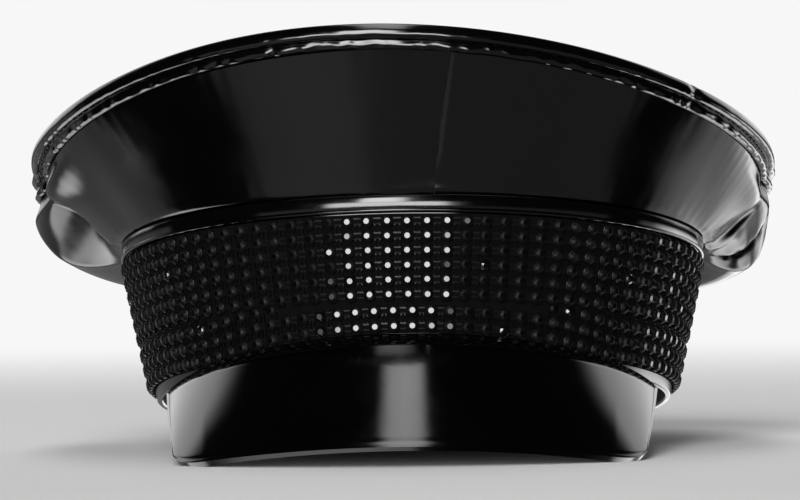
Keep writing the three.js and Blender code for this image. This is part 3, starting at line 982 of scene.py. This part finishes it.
class CAP_OT_headband(bpy.types.Operator):
    """Makes the headband, with its turned lower rim and the rolled collar over the stones"""

    bl_idname = "cap.headband"
    bl_label = "Headband"
    columns: count("Columns", 480, "Sections round the band")
    arc: count("Arc points", 12, "Points over the collar")

    def execute(self, context):
        band = sizes("band")
        angle = np.linspace(0, 2 * np.pi, self.columns, endpoint=False)
        collar = stones_top() + band.gap
        ease = 1 + COLLAR_UNEVEN * waver(angle, "collar")
        section = [(-band.rim_round, -band.drop)]
        for turned in np.linspace(0, np.pi / 2, 5)[1:]:
            section.append((
                -band.rim_round * (1 - math.sin(turned)),
                -band.drop + band.rim_round * (1 - math.cos(turned))))
        for height in np.linspace(0, collar, 12):
            section.append((0, height))
        for turned in np.linspace(0, np.pi, self.arc)[1:]:
            swell = band.collar_bulge * ease * math.sin(turned) ** COLLAR_FULLNESS
            height = collar + (band.top - collar) * (1 - math.cos(turned)) / 2
            section.append((swell, height))
        outer_count = len(section)
        section.append((-band.wall / 2, band.top))
        for height in np.linspace(band.top, -band.drop + band.rim_round, 10):
            section.append((-band.wall, height))
        section.append((-band.wall + band.rim_round, -band.drop))
        loop = [band_point(angle, height, out) for out, height in section]
        # Vinyl outside and over both rims, knit inside
        points = len(loop)
        slots = [0 if point <= outer_count or point >= points - 2 else 1 for point in range(points)]
        piece = new_piece(
            "headband_soft", np.stack(loop, 1), hoop_faces(self.columns, points),
            [finish_of("rolled_patent"), finish_of("knit_backing")], slots * self.columns)
        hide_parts("headband")
        return {"FINISHED"}


# Share of the collar's bulge that the piping lies on
PIPING_ON_COLLAR = 0.4


class CAP_OT_piping(bpy.types.Operator):
    """Makes the thin piping between the stones and the collar"""

    bl_idname = "cap.piping"
    bl_label = "Piping"
    columns: count("Columns", 480, "Sections round the band")
    sides: count("Sides", 12, "Sides of the piping")

    def execute(self, context):
        band = sizes("band")
        angle = np.linspace(0, 2 * np.pi, self.columns, endpoint=False)
        radius = band.piping / 2
        height = stones_top() + band.gap + radius
        out = band.gap + band.collar_bulge * PIPING_ON_COLLAR + radius
        loop = [
            band_point(angle, height + radius * math.sin(turned), out + radius * math.cos(turned))
            for turned in 2 * np.pi * np.arange(self.sides) / self.sides]
        piece = new_piece(
            "band_piping_soft", np.stack(loop, 1), hoop_faces(self.columns, self.sides),
            [finish_of("rolled_patent")])
        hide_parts("band_piping")
        return {"FINISHED"}


# Stones

# The materials of the stone field's faces, in the order that its slots count them
STONE_FINISHES = ["stone_plastic", "net_plastic", "woven_tape", "stone_flank"]
TABLE, NET, TAPE, FLANK = range(4)

# Heights over the tape and the band, as shares of the mesh's thickness
STONE_FOOT = 0.15
BAR_TOP = 0.55
LINK_TOP = 0.5

# A stone in its cup, as rings of corners: share of the cup's or the stone's radius, and share
# of the way up from its foot. The kites are turned by half a side.
CUP_SIDES = 12
CUP_RINGS = [(1.0, 0.12), (1.0, 0.5), (0.93, 0.6)]
CUT_SIDES = 8
CUT_RINGS = [(1.0, 0.5, 0.0), (0.8, 0.78, 0.5), (0.46, 1.0, 0.0)]

# A bar's top is eased by shares of its width and of that ease
BAR_EASE = 0.2
BAR_SHOULDER = 0.22


def stone_solid(stones, base, top):
    """A cut stone in its cup, standing on Z: points, faces and the faces' finishes."""
    vertices, faces, slots = [], [], []

    def ring(radius, up, sides, turned=0.0):
        start = len(vertices)
        for side in range(sides):
            a = 2 * np.pi * (side + turned) / sides
            vertices.append((radius * math.cos(a), radius * math.sin(a), base + up * (top - base)))
        return start

    cup = [ring(stones.cup / 2 * across, up, CUP_SIDES) for across, up in CUP_RINGS]
    for low, high in zip(cup, cup[1:]):
        for side in range(CUP_SIDES):
            after = (side + 1) % CUP_SIDES
            faces.append((low + side, low + after, high + after, high + side))
            slots.append(NET)
    faces.append(tuple(cup[-1] + side for side in range(CUP_SIDES)))
    slots.append(TAPE)
    # The cut: a girdle, a ring of kites, a ring of stars and the table
    girdle, kite, table = (
        ring(stones.diameter / 2 * across, up, CUT_SIDES, turned) for across, up, turned in CUT_RINGS)
    for side in range(CUT_SIDES):
        after = (side + 1) % CUT_SIDES
        faces.append((girdle + side, girdle + after, kite + side))
        faces.append((girdle + after, kite + after, kite + side))
        faces.append((kite + side, table + after, table + side))
        faces.append((kite + side, kite + after, table + after))
        slots.extend([FLANK] * 4)
    faces.append(tuple(table + side for side in range(CUT_SIDES)))
    slots.append(TABLE)
    return np.array(vertices), faces, slots


def bar_solid(across, along, base, top):
    """A small bar over two ranges, its outer long edges eased and its flat top dull."""
    (x0, x1), (y0, y1) = across, along
    ease = (y1 - y0) * BAR_EASE
    shoulder = top - ease * BAR_SHOULDER
    profile = [(y0, base), (y1, base), (y1, shoulder), (y1 - ease, top), (y0 + ease, top), (y0, shoulder)]
    vertices = [(x, y, z) for x in (x0, x1) for y, z in profile]
    n = len(profile)
    faces = [((i + 1) % n, n + (i + 1) % n, n + i, i) for i in range(n)]
    faces += [tuple(range(n)), tuple(reversed(range(n, 2 * n)))]
    slots = [NET] * len(faces)
    slots[profile.index((y1 - ease, top))] = TAPE
    return np.array(vertices), faces, slots


def stand_on_band(angle, height, out):
    """A frame on the band: its point, its way round, its way up and its way out."""
    step = 1e-3
    here = band_point(angle, height, out)
    around = unit(band_point(angle + step, height, out) - band_point(angle - step, height, out))
    up = unit(band_point(angle, height + step, out) - here)
    away = unit(np.cross(around, up))
    return here, around, np.cross(away, around), away


class StoneField:
    """Gathers stones, cups, bars and links of one strip into one mesh."""

    def __init__(self, seed):
        self.draw = np.random.RandomState(seed)
        self.vertices, self.faces, self.slots = [], [], []
        self.count = 0

    def put(self, solid, faces, slots, place):
        """Stands a small solid on the band at a frame."""
        here, around, up, away = place
        turned = solid @ np.stack([around, up, away])
        self.vertices.append(turned + here)
        self.faces.extend([tuple(self.count + i for i in face) for face in faces])
        self.slots.extend(slots)
        self.count += len(solid)

    def tilted(self, place, largest):
        """The frame with a small random tilt and spin, as moulded stones have."""
        here, around, up, away = place
        tilt = self.draw.uniform(-largest, largest, 2)
        away = unit(away + around * tilt[0] + up * tilt[1])
        around = unit(around - away * np.dot(around, away))
        return here, around, np.cross(away, around), away


# How far the lowest row of cups stands over the arch, and how far over the upper strip's foot a
# row of the lower strip may still start, in cup radii. A bar starts at a share of a cup's width
# from its middle, just inside it, and a link reaches both ways by a share of the rows' pitch.
FIRST_ROW = 0.9
LAST_ROW = 0.1
BAR_START = 0.42
LINK_REACH = 0.16


class CAP_OT_stones(bpy.types.Operator):
    """Makes both strips of stone mesh: cut stones in cups, joined by bars and links"""

    bl_idname = "cap.stones"
    bl_label = "Stone Band"
    tape_columns: count("Tape columns", 288, "Points round the tape behind the stones")

    def tape(self, field, strip):
        """Lays the tape behind the stones, from its lower to its upper edge."""
        band, stones = sizes("band"), sizes("stones")
        angle = np.linspace(0, 2 * np.pi, self.tape_columns, endpoint=False)
        foot = strip["foot"](angle) - strip["tape_below"]
        top = strip["top"] + strip["tape_above"]
        back, front = band.gap, band.gap + stones.thickness * strip["tape_share"]
        section = [(foot, back), (foot, front), (top, front), (top, back)]
        sheet = np.stack([band_point(angle, height, out) for height, out in section], 1).reshape(-1, 3)
        quads = hoop_faces(self.tape_columns, len(section))
        field.put(sheet, quads, [TAPE] * len(quads), (np.zeros(3), *np.eye(3)))

    def strip(self, strip):
        """Makes one strip of the mesh as a piece that replaces its node."""
        band, stones = sizes("band"), sizes("stones")
        field = StoneField(strip["seed"])
        self.tape(field, strip)
        row_height, shows, hem = strip["row_height"], strip["shows"], strip["hem"]
        base = stones.thickness * STONE_FOOT
        bar_half, link_half = stones.bar_height / 2, stones.link_width / 2
        reach = stones.pitch * LINK_REACH
        link_top = stones.thickness * LINK_TOP
        stone, stone_faces, stone_slots = stone_solid(stones, base, stones.thickness)
        step = 2 * np.pi / stones.columns
        for column in range(stones.columns):
            angle = (column + strip["shift"]) * step
            middle = angle + step / 2
            for row in range(strip["rows"]):
                height = row_height(row, angle)
                if not shows(height):
                    continue
                out = band.gap - strip["tuck"] * float(smooth_step(height, hem - stones.cup / 2, hem))
                # A few stones are polished all over and sparkle at the sides
                polished = field.draw.uniform() < stones.sparkle
                cut_slots = [TABLE if slot == FLANK and polished else slot for slot in stone_slots]
                place = field.tilted(stand_on_band(angle, height, out), stones.unevenness)
                field.put(stone, stone_faces, cut_slots, place)

                span = band_point(angle + step, height, band.gap) - band_point(angle, height, band.gap)
                half = np.linalg.norm(span) / 2 - stones.cup * BAR_START
                bar = bar_solid((-half, half), (-bar_half, bar_half), base, stones.thickness * BAR_TOP)
                field.put(*bar, stand_on_band(middle, row_height(row, middle), out))

                link_height = height + (row_height(1, angle) - row_height(0, angle)) / 2
                last = row == strip["rows"] - 1
                if link_height + reach < strip["top"] and (last or shows(row_height(row + 1, angle))):
                    place = stand_on_band(angle, link_height, band.gap)
                    link = bar_solid((-link_half, link_half), (-reach, reach), base, link_top)
                    field.put(*link, place)
                    for side in (-1, 1):
                        rail = side * (stones.cup / 2 + stones.rail)
                        rails = (rail - stones.rail, rail + stones.rail)
                        field.put(*bar_solid(rails, (-reach * 2, reach * 2), base, link_top), place)
        piece = new_piece(
            strip["name"], np.concatenate(field.vertices), field.faces,
            [finish_of(name) for name in STONE_FINISHES], field.slots, sharp=0)
        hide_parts(strip["node"])

    def execute(self, context):
        band, stones = sizes("band"), sizes("stones")
        top = stones_top()
        split = top - stones.pitch * stones.upper_rows
        half_cup = stones.cup / 2

        def arch(angle):
            near = np.minimum(from_front(angle) / stones.arch_angle, 1)
            return stones.arch * (1 - near * near)

        self.strip({
            "name": "stone_strip_upper", "node": "stone_mesh_upper", "seed": 31,
            "rows": stones.upper_rows, "shift": 0.0, "tuck": 0.0, "hem": top, "top": top,
            "foot": lambda angle: split + band.gap,
            "tape_below": 0.0, "tape_above": 0.0, "tape_share": 0.24,
            "row_height": lambda row, angle: split + band.gap / 2 + stones.pitch * (row + 0.5),
            "shows": lambda height: True,
        })
        # The lower strip's tape runs on behind the upper one's, and a little over the peak's root
        self.strip({
            "name": "stone_strip_lower", "node": "stone_mesh_lower", "seed": 32,
            "rows": stones.lower_rows, "shift": stones.lower_shift, "tuck": stones.tuck,
            "hem": split, "top": split, "foot": arch,
            "tape_below": band.gap, "tape_above": band.gap * 2, "tape_share": 0.16,
            "row_height": lambda row, angle: (
                float(arch(angle)) + half_cup * FIRST_ROW + stones.lower_pitch * row),
            "shows": lambda height: height < split + half_cup * LAST_ROW,
        })
        return {"FINISHED"}


# Peak

# Share of the half width that the front bow takes before the corner starts, the bow's centre in
# shares of the reach and the drop, the step that slopes are read over, and the pressed line's
# distance from the edge and its width
BOW_SHARE = 0.72
BOW_CENTRE = (1 / 3, 3)
SLOPE_STEP = 2e-3
BEAD_INSET = 2.4 * MM
BEAD_WIDTH = 0.7 * MM
PEAK_SHARP = 50


def peak_root(across):
    """The sewn edge of the peak's upper face, across from -1 to 1."""
    peak, band, stones = sizes("peak"), sizes("band"), sizes("stones")
    angle = across * peak.half_angle
    height = stones.arch - band.gap * 2 - peak.seat_fall * across * across
    return band_point(angle, height, band.gap + peak.thickness)


def peak_rim(across):
    """The peak's outer edge: a long bow and two round corners."""
    peak = sizes("peak")
    side = np.abs(across)
    bow_end = 1 - peak.corner_radius / peak.half_width

    def bow(s):
        return np.stack([
            peak.half_width * s,
            -peak.reach + (peak.reach - peak.corner_reach) * s**2,
            -peak.drop - (peak.corner_drop - peak.drop) * s**2], -1)

    corner = np.array([peak.half_width, -peak.corner_reach, -peak.corner_drop])
    root = peak_root(np.array([1.0]))[0]
    back = unit(root - corner)
    start, end = bow(np.array([bow_end]))[0], corner + back * peak.corner_radius
    t = np.clip((side - BOW_SHARE) / (1 - BOW_SHARE), 0, 1)[..., None]
    rounded = start * (1 - t) ** 2 + 2 * corner * t * (1 - t) + end * t**2
    place = np.where((side < BOW_SHARE)[..., None], bow(side / BOW_SHARE * bow_end), rounded)
    place[..., 0] *= np.where(across < 0, -1, 1)
    return place


def peak_face(across, down):
    """Points of the peak's upper face."""
    peak = sizes("peak")
    root, rim = peak_root(across), peak_rim(across)
    place = root + (rim - root) * down[..., None]
    lift = unit(place - np.array([0, -peak.reach * BOW_CENTRE[0], -peak.drop * BOW_CENTRE[1]]))
    place = place + lift * (4 * down * (1 - down) * peak.crown)[..., None]
    rise = np.sin(np.clip(down / peak.shelf_share, 0, 1) * np.pi / 2)
    shelf = peak.shelf * np.minimum(rise, (1 - down) / (1 - peak.shelf_share)) * (1 - across**2)
    return place + unit(place * np.array([1, 1, 0])) * shelf[..., None]


class CAP_OT_peak(bpy.types.Operator):
    """Makes the stiff peak with its pressed edge line and rounded cut edge"""

    bl_idname = "cap.peak"
    bl_label = "Peak"
    columns: count("Columns", 181, "Points across the peak")
    rows: count("Rows", 72, "Points from root to edge")

    def execute(self, context):
        peak = sizes("peak")
        across, down = np.meshgrid(
            np.linspace(-1, 1, self.columns), np.linspace(1, 0, self.rows), indexing="ij")
        upper = peak_face(across, down)
        across_after, across_before = (np.clip(across + step, -1, 1) for step in (SLOPE_STEP, -SLOPE_STEP))
        down_after, down_before = (np.clip(down + step, 0, 1) for step in (SLOPE_STEP, -SLOPE_STEP))
        way_across = peak_face(across_after, down) - peak_face(across_before, down)
        way_down = peak_face(across, down_after) - peak_face(across, down_before)
        normal = unit(np.cross(way_down, way_across))
        lower = upper - normal * peak.thickness
        # Distance to the free edge, along the peak and across it
        length_down = np.linalg.norm(peak_rim(across) - peak_root(across), axis=-1)
        to_front = (1 - down) * length_down
        end = np.where(across > 0, 1.0, -1.0)
        to_side = np.linalg.norm(upper - peak_face(end, down), axis=-1)
        to_edge = np.minimum(to_front, to_side)
        line = np.exp(-(((to_edge - BEAD_INSET) / BEAD_WIDTH) ** 2))
        upper = upper - normal * (peak.bead * line)[..., None]
        faces, *_ = wall_faces(self.columns, self.rows)
        piece = new_piece(
            "peak_stiff", np.stack([upper, lower]), faces, [finish_of("stiff_patent")], sharp=PEAK_SHARP)
        bevel = piece.modifiers.new("Rounded edge", "BEVEL")
        bevel.width = peak.edge_round
        bevel.segments = 4
        bevel.limit_method = "ANGLE"
        bevel.angle_limit = math.radians(PEAK_SHARP)
        bevel.use_clamp_overlap = True
        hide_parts("peak")
        return {"FINISHED"}


# Stage

FLOOR_HALF = 14.0
NEAR_FLOOR = 0.45
FAR_FLOOR = 1.6
SENSOR = 36.0
VIEW_END = 60.0
DARK_STUDIO = 0.012

# What lights the studio, as soft panels: their levels by degrees round the cap from the front,
# through +X, and by degrees up. The lamp overhead has its levels by how far sideways its light
# comes from. Under the horizon they stand for the floor that the glossy vinyl mirrors.
STUDIO_PANELS = [
    {
        "name": "dim floor in front", "across": "round", "radiance": 0.44,
        "level": [(-70, 0), (-60, 0.85), (-42, 1), (-24, 1), (-10, 0.5), (84, 0.44), (92, 0)],
        "up": [(-80, 0.5), (-55, 1), (-10, 1), (-2, 0)],
    },
    {
        "name": "white floor behind, on the wearer's left", "across": "round", "radiance": 6.4,
        "level": [(106, 0), (130, 0.9), (148, 0.65), (180, 0.4)],
        "up": [
            (-66, 0), (-58, 1), (-40, 1), (-34, 0.2), (-28, 0.14), (-20, 0.36), (-13, 0.8),
            (-9, 0.6), (-4, 0)],
    },
    {
        "name": "white floor behind, on the wearer's right", "across": "round", "radiance": 3.6,
        "level": [(-180, 0.8), (-150, 1), (-118, 1), (-110, 0)],
        "up": [(-66, 0.4), (-58, 1), (-43, 1), (-36, 0.08), (-8, 0.08), (0, 0)],
    },
    {
        "name": "white walls at the back corners", "across": "round", "radiance": 1.6,
        "level": [(-176, 0), (-164, 1), (-138, 1), (-124, 0), (124, 0), (138, 1), (164, 1), (176, 0)],
        "up": [(-2, 0), (8, 1), (32, 1), (42, 0)],
    },
    {
        "name": "low key lamp", "across": "round", "radiance": 16.0,
        "level": [(-38, 0), (-31, 0.9), (12, 0.9), (22, 0)],
        "up": [(-7, 0), (-3, 1), (8, 1), (13, 0)],
    },
    {
        "name": "high key lamp", "across": "round", "radiance": 18.0,
        "level": [(-26, 0), (-19, 0.9), (-10, 1), (-4, 0.8), (5, 0)],
        "up": [(9, 0), (14, 1), (34, 1), (46, 0)],
    },
    {
        "name": "long soft lamp overhead", "across": "sideways", "radiance": 5.0,
        "level": [(-0.18, 0), (-0.09, 0.9), (-0.03, 1), (0.03, 0.9), (0.10, 0)],
        "up": [(52, 0), (64, 0.9), (84, 1)],
    },
]


def turn_round(tree, place):
    """Share of the way round the cap of a direction, with the front at a half."""
    turned = add_node(
        tree, "ShaderNodeVectorRotate", {"rotation_type": "Z_AXIS", "Angle": math.pi / 2}, {"Vector": place})
    return add_node(
        tree, "ShaderNodeTexGradient", {"gradient_type": "RADIAL"}, {"Vector": turned.outputs["Vector"]}
    ).outputs["Fac"]


def half_scale(tree, number):
    """A number from -1 to 1 as a share from 0 to 1."""
    return add_node(
        tree, "ShaderNodeMath", {"operation": "MULTIPLY_ADD", 1: 0.5, 2: 0.5}, {0: number}).outputs["Value"]


def pale_floor(stage):
    """Seamless paper: matt and pale, and one with the surroundings further off."""
    material, tree, place = new_material("seamless_paper")
    fibre = add_node(tree, "ShaderNodeTexNoise", {"Scale": 1 / PAPER_FIBRE, "Detail": 4.0}, {"Vector": place})
    relief = add_node(
        tree, "ShaderNodeBump", {"Strength": 0.3, "Distance": 0.05 * MM}, {"Height": fibre.outputs["Fac"]})
    near = add_node(
        tree, "ShaderNodeBsdfDiffuse", {"Color": (*stage.floor, 1)}, {"Normal": relief.outputs["Normal"]})
    far = add_node(tree, "ShaderNodeEmission", {"Color": (*stage.backdrop, 1)})
    distance = add_node(tree, "ShaderNodeVectorMath", {"operation": "LENGTH"}, {0: place})
    fade = add_node(
        tree, "ShaderNodeMapRange",
        {"interpolation_type": "SMOOTHSTEP", "From Min": NEAR_FLOOR, "From Max": FAR_FLOOR},
        {"Value": distance.outputs["Value"]})
    mix = add_node(
        tree, "ShaderNodeMixShader", {},
        {0: fade.outputs["Result"], 1: near.outputs["BSDF"], 2: far.outputs["Emission"]})
    add_node(tree, "ShaderNodeOutputMaterial", {}, {"Surface": mix.outputs["Shader"]})
    return material


def studio_surroundings(stage):
    """Pale all round to the eye; as light, the studio's soft panels in a dark room."""
    world = bpy.data.worlds.new("studio")
    bpy.context.scene.world = world
    world.use_nodes = True
    tree = world.node_tree
    tree.nodes.clear()
    direction = add_node(tree, "ShaderNodeTexCoord").outputs["Generated"]
    parts = add_node(tree, "ShaderNodeSeparateXYZ", {}, {"Vector": direction})
    round_cap = turn_round(tree, direction)
    sideways = half_scale(tree, parts.outputs["X"])
    upward = half_scale(tree, parts.outputs["Z"])
    total = None
    for panel in STUDIO_PANELS:
        if panel["across"] == "round":
            across, places = round_cap, [(a / 360 + 0.5, v) for a, v in panel["level"]]
        else:
            across, places = sideways, [(a / 2 + 0.5, v) for a, v in panel["level"]]
        level = add_node(tree, "ShaderNodeValToRGB", {}, {"Fac": across}, places)
        up = add_node(
            tree, "ShaderNodeValToRGB", {}, {"Fac": upward},
            [(math.sin(math.radians(a)) / 2 + 0.5, v) for a, v in panel["up"]])
        both = add_node(
            tree, "ShaderNodeMath", {"operation": "MULTIPLY"},
            {0: level.outputs["Color"], 1: up.outputs["Color"]})
        scaled = add_node(
            tree, "ShaderNodeMath", {"operation": "MULTIPLY_ADD", 1: panel["radiance"], 2: DARK_STUDIO},
            {0: both.outputs["Value"]})
        if total is not None:
            tree.links.new(total, scaled.inputs[2])
        total = scaled.outputs["Value"]
    lamps = add_node(tree, "ShaderNodeBackground", {"Color": (*stage.backdrop, 1)}, {"Strength": total})
    seen = add_node(tree, "ShaderNodeBackground", {"Color": (*stage.backdrop, 1), "Strength": 1.0})
    path = add_node(tree, "ShaderNodeLightPath")
    mix = add_node(
        tree, "ShaderNodeMixShader", {},
        {0: path.outputs["Is Camera Ray"], 1: lamps.outputs["Background"], 2: seen.outputs["Background"]})
    add_node(tree, "ShaderNodeOutputWorld", {}, {"Surface": mix.outputs["Shader"]})


class CAP_OT_stage(bpy.types.Operator):
    """Makes the pale floor, the soft lights and the camera"""

    bl_idname = "cap.stage"
    bl_label = "Stage"

    def execute(self, context):
        stage = sizes("stage")
        mesh = bpy.data.meshes.new("floor")
        corners = [(x * FLOOR_HALF, y * FLOOR_HALF, 0) for x, y in ((-1, -1), (1, -1), (1, 1), (-1, 1))]
        mesh.from_pydata(corners, [], [(0, 1, 2, 3)])
        mesh.materials.append(pale_floor(stage))
        floor = bpy.data.objects.new("floor", mesh)
        context.collection.objects.link(floor)
        # The studio's panels stand for the floor in the vinyl's mirror
        floor.visible_glossy = False
        studio_surroundings(stage)
        own = cap_matrix()
        level = Matrix.Rotation(stage.azimuth, 4, "Z")
        away = level @ Matrix.Rotation(-stage.elevation, 4, "X") @ Vector((0, -stage.distance, 0))
        across = level @ Vector((stage.aim_side, 0, 0))
        target = own @ (across + Vector((0, 0, stage.aim_height)))
        place = own @ (away + across)
        data = bpy.data.cameras.new("camera")
        data.sensor_width = SENSOR
        data.lens = SENSOR * stage.distance / stage.frame_width
        data.clip_end = VIEW_END
        camera = bpy.data.objects.new("camera", data)
        look = (target - place).to_track_quat("-Z", "Y").to_matrix().to_4x4()
        camera.matrix_world = Matrix.Translation(place) @ look @ Matrix.Rotation(-stage.roll, 4, "Z")
        context.collection.objects.link(camera)
        context.scene.camera = camera
        context.scene.view_settings.view_transform = "Standard"
        return {"FINISHED"}


OPERATORS = [
    CAP_OT_stage, CAP_OT_headband, CAP_OT_piping, CAP_OT_stones, CAP_OT_crown_panels,
    CAP_OT_edge_roll, CAP_OT_topstitch, CAP_OT_crown_top, CAP_OT_peak,
]
GROUPS = {
    "band": CapBandSizes, "stones": CapStoneSizes, "crown": CapCrownSizes,
    "peak": CapPeakSizes, "finishes": CapFinishes, "stage": CapStage,
}


class CAP_PT_panel(bpy.types.Panel):
    """Lists the cap's pieces in the sidebar."""

    bl_label = "Peaked Cap"
    bl_idname = "CAP_PT_panel"
    bl_space_type = "VIEW_3D"
    bl_region_type = "UI"
    bl_category = "Cap"

    def draw(self, context):
        for group in GROUPS:
            box = self.layout.box()
            box.label(text=group.capitalize())
            held = sizes(group)
            for name in held.__annotations__:
                box.prop(held, name)
        for operator in OPERATORS:
            self.layout.operator(operator.bl_idname)


def register():
    for group in GROUPS.values():
        bpy.utils.register_class(group)
    for operator in OPERATORS:
        bpy.utils.register_class(operator)
    bpy.utils.register_class(CAP_PT_panel)
    for name, group in GROUPS.items():
        setattr(bpy.types.Scene, "cap_" + name, bpy.props.PointerProperty(type=group))


def unregister():
    for name in GROUPS:
        delattr(bpy.types.Scene, "cap_" + name)
    bpy.utils.unregister_class(CAP_PT_panel)
    for operator in reversed(OPERATORS):
        bpy.utils.unregister_class(operator)
    for group in reversed(GROUPS.values()):
        bpy.utils.unregister_class(group)


def main():
    """Builds the stage and every piece."""
    register()
    for operator in OPERATORS:
        module, name = operator.bl_idname.split(".")
        getattr(getattr(bpy.ops, module), name)()
    bpy.context.view_layer.update()


if __name__ == "__main__":
    main()
